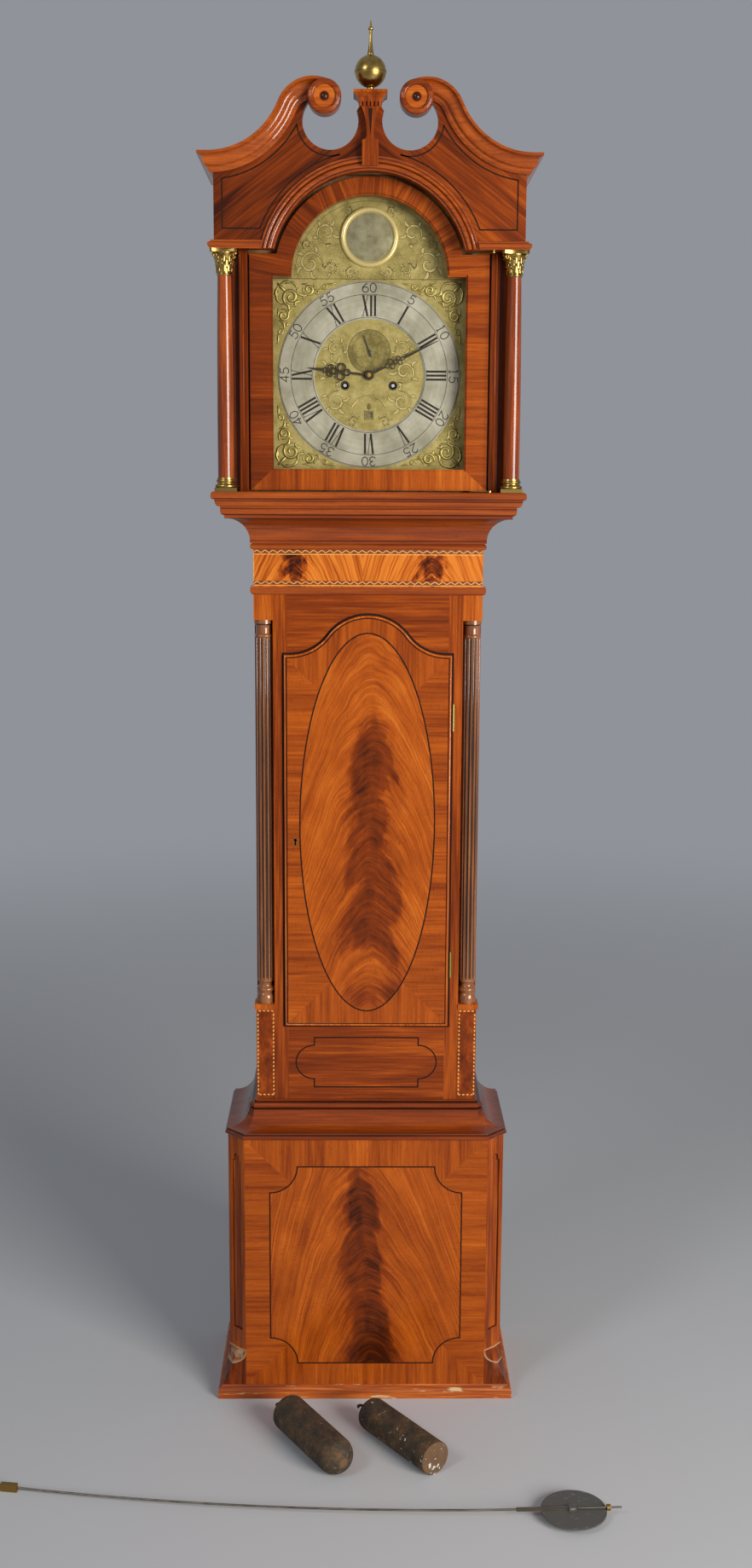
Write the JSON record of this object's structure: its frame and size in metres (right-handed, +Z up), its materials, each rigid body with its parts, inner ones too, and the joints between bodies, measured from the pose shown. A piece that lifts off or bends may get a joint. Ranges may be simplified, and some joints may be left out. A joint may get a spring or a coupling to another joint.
{
  "type": "longcase clock",
  "caption": "Tall longcase clock with an arched glazed hood, swan-neck pediment, brass dial, long trunk door and inlaid base; pendulum and driving weights lie on the floor in front.",
  "frame": {"origin": "middle of the base on the floor, in the plane of the floor board's underside", "axes": "+Z up, -Y out of the front, +X to the viewer's right"},
  "size_m": [1.0661, 0.65, 2.3146],
  "materials": {
    "mahogany": "french polished",
    "pine": "plain",
    "brass": "worn",
    "silvered_brass": "silvered",
    "steel": "dark",
    "iron": "rusty",
    "glass": "clear"
  },
  "bodies": {
    "case": {"base_front_panel": "mahogany", "base_corner_posts": "mahogany", "base_carcase": "mahogany", "base_plinth_moulding": "mahogany", "waist_moulding": "mahogany", "backboard": "pine", "trunk_sides": "mahogany", "trunk_stiles": "mahogany", "trunk_rails": "mahogany", "trunk_column_blocks": "mahogany", "trunk_columns": "mahogany", "frieze_board": "mahogany", "throat_mouldings": "mahogany", "trunk_hinges_fixed": "brass", "seatboard": "pine", "dial_plate": "brass", "chapter_ring": "silvered_brass", "dial_spandrels": "brass", "arch_boss": "silvered_brass", "movement_frame": "brass", "bell": "brass"},
    "hood": {"hood_base_frame": "mahogany", "hood_side_frames": "mahogany", "pediment_board": "mahogany", "hood_arch_moulding": "mahogany", "hood_cornice": "mahogany", "pediment_roundels": "mahogany", "finial_pedestal": "mahogany", "finial": "brass", "hood_columns": "mahogany", "hood_column_brasses": "brass", "hood_roof": "pine", "dial_mask": "pine"},
    "hood_door": {"hood_door_frame": "mahogany", "hood_door_glass": "glass", "hood_door_hinges": "brass"},
    "trunk_door": {"trunk_door_panel": "mahogany", "trunk_hinges_door": "brass", "trunk_lock": "steel"},
    "minute_hand": {"minute_hand": "steel", "cannon_wheel": "brass"},
    "minute_wheel": {"minute_wheel": "brass"},
    "hour_hand": {"hour_hand": "steel", "hour_wheel": "brass"},
    "escape_wheel": {"escape_wheel": "brass"},
    "third_wheel": {"third_wheel": "brass"},
    "centre_wheel": {"centre_wheel": "brass"},
    "going_barrel": {"going_barrel": "brass"},
    "pallet_anchor": {"pallet_anchor": "steel"},
    "strike_fly": {"strike_fly": "brass"},
    "strike_warning_wheel": {"strike_warning_wheel": "brass"},
    "strike_gathering_wheel": {"strike_gathering_wheel": "brass"},
    "strike_pin_wheel": {"strike_pin_wheel": "brass"},
    "strike_barrel": {"strike_barrel": "brass"},
    "hammer": {"hammer": "steel"},
    "date_ring": {"date_ring": "silvered_brass"},
    "pendulum": {"pendulum_rod": "steel", "pendulum_bob": "iron"},
    "round_weight": {"round_weight": "iron"},
    "flat_weight": {"flat_weight": "iron"}
  },
  "joints": [
    {"name": "hood_slide", "type": "slide", "parent": "case", "child": "hood", "axis": [0, -1, 0], "range_m": [0, 0.28]},
    {"name": "hood_door_hinge", "type": "hinge", "parent": "hood", "child": "hood_door", "pos_m": [0.197, -0.115, 1.594], "axis": [0, 0, 1], "range_deg": [0, 95]},
    {"name": "trunk_door_hinge", "type": "hinge", "parent": "case", "child": "trunk_door", "pos_m": [0.1448, -0.0745, 0.676], "axis": [0, 0, 1], "range_deg": [0, 110]},
    {"name": "minute_hand_turn", "type": "hinge", "parent": "case", "child": "minute_hand", "pos_m": [0, 0, 1.7835], "axis": [0, 1, 0], "continuous": true},
    {"name": "minute_wheel_turn", "type": "hinge", "parent": "case", "child": "minute_wheel", "pos_m": [0, 0, 1.7515], "axis": [0, 1, 0], "continuous": true},
    {"name": "hour_hand_turn", "type": "hinge", "parent": "case", "child": "hour_hand", "pos_m": [0, 0, 1.7835], "axis": [0, 1, 0], "continuous": true},
    {"name": "escape_wheel_turn", "type": "hinge", "parent": "case", "child": "escape_wheel", "pos_m": [0, 0, 1.8215], "axis": [0, 1, 0], "continuous": true},
    {"name": "third_wheel_turn", "type": "hinge", "parent": "case", "child": "third_wheel", "pos_m": [0.01423, 0, 1.80466], "axis": [0, 1, 0], "continuous": true},
    {"name": "centre_wheel_turn", "type": "hinge", "parent": "case", "child": "centre_wheel", "pos_m": [0, 0, 1.7835], "axis": [0, 1, 0], "continuous": true},
    {"name": "going_barrel_turn", "type": "hinge", "parent": "case", "child": "going_barrel", "pos_m": [0.0395, 0, 1.7669], "axis": [0, 1, 0], "continuous": true},
    {"name": "anchor_rock", "type": "hinge", "parent": "case", "child": "pallet_anchor", "pos_m": [0, 0, 1.8485], "axis": [0, 1, 0], "range_deg": [-3, 3]},
    {"name": "fly_turn", "type": "hinge", "parent": "case", "child": "strike_fly", "pos_m": [-0.02617, 0, 1.85105], "axis": [0, 1, 0], "continuous": true},
    {"name": "warning_wheel_turn", "type": "hinge", "parent": "case", "child": "strike_warning_wheel", "pos_m": [-0.03304, 0, 1.83914], "axis": [0, 1, 0], "continuous": true},
    {"name": "gathering_wheel_turn", "type": "hinge", "parent": "case", "child": "strike_gathering_wheel", "pos_m": [-0.02572, 0, 1.82344], "axis": [0, 1, 0], "continuous": true},
    {"name": "pin_wheel_turn", "type": "hinge", "parent": "case", "child": "strike_pin_wheel", "pos_m": [-0.03311, 0, 1.80314], "axis": [0, 1, 0], "continuous": true},
    {"name": "strike_barrel_turn", "type": "hinge", "parent": "case", "child": "strike_barrel", "pos_m": [-0.0395, 0, 1.7669], "axis": [0, 1, 0], "continuous": true},
    {"name": "hammer_swing", "type": "hinge", "parent": "case", "child": "hammer", "pos_m": [-0.058, 0, 1.8235], "axis": [0, -1, 0], "range_deg": [0, 12]},
    {"name": "date_ring_turn", "type": "hinge", "parent": "case", "child": "date_ring", "pos_m": [0, 0, 1.7835], "axis": [0, 1, 0], "continuous": true},
    {"name": "pendulum_lift", "type": "slide", "parent": "case", "child": "pendulum", "axis": [0, 0, 1], "range_m": [0, 0.3]},
    {"name": "round_weight_lift", "type": "slide", "parent": "case", "child": "round_weight", "axis": [0, 0, 1], "range_m": [0, 0.3]},
    {"name": "flat_weight_lift", "type": "slide", "parent": "case", "child": "flat_weight", "axis": [0, 0, 1], "range_m": [0, 0.3]}
  ],
  "couplings": [
    {"joint": "minute_wheel_turn", "follows": "minute_hand_turn", "ratio": -1},
    {"joint": "hour_hand_turn", "follows": "minute_hand_turn", "ratio": 0.083333},
    {"joint": "third_wheel_turn", "follows": "centre_wheel_turn", "ratio": -7.5},
    {"joint": "escape_wheel_turn", "follows": "centre_wheel_turn", "ratio": 60},
    {"joint": "going_barrel_turn", "follows": "centre_wheel_turn", "ratio": -0.083333},
    {"joint": "warning_wheel_turn", "follows": "gathering_wheel_turn", "ratio": -8},
    {"joint": "fly_turn", "follows": "gathering_wheel_turn", "ratio": 54.857},
    {"joint": "pin_wheel_turn", "follows": "gathering_wheel_turn", "ratio": -0.125},
    {"joint": "strike_barrel_turn", "follows": "gathering_wheel_turn", "ratio": 0.011905}
  ]
}
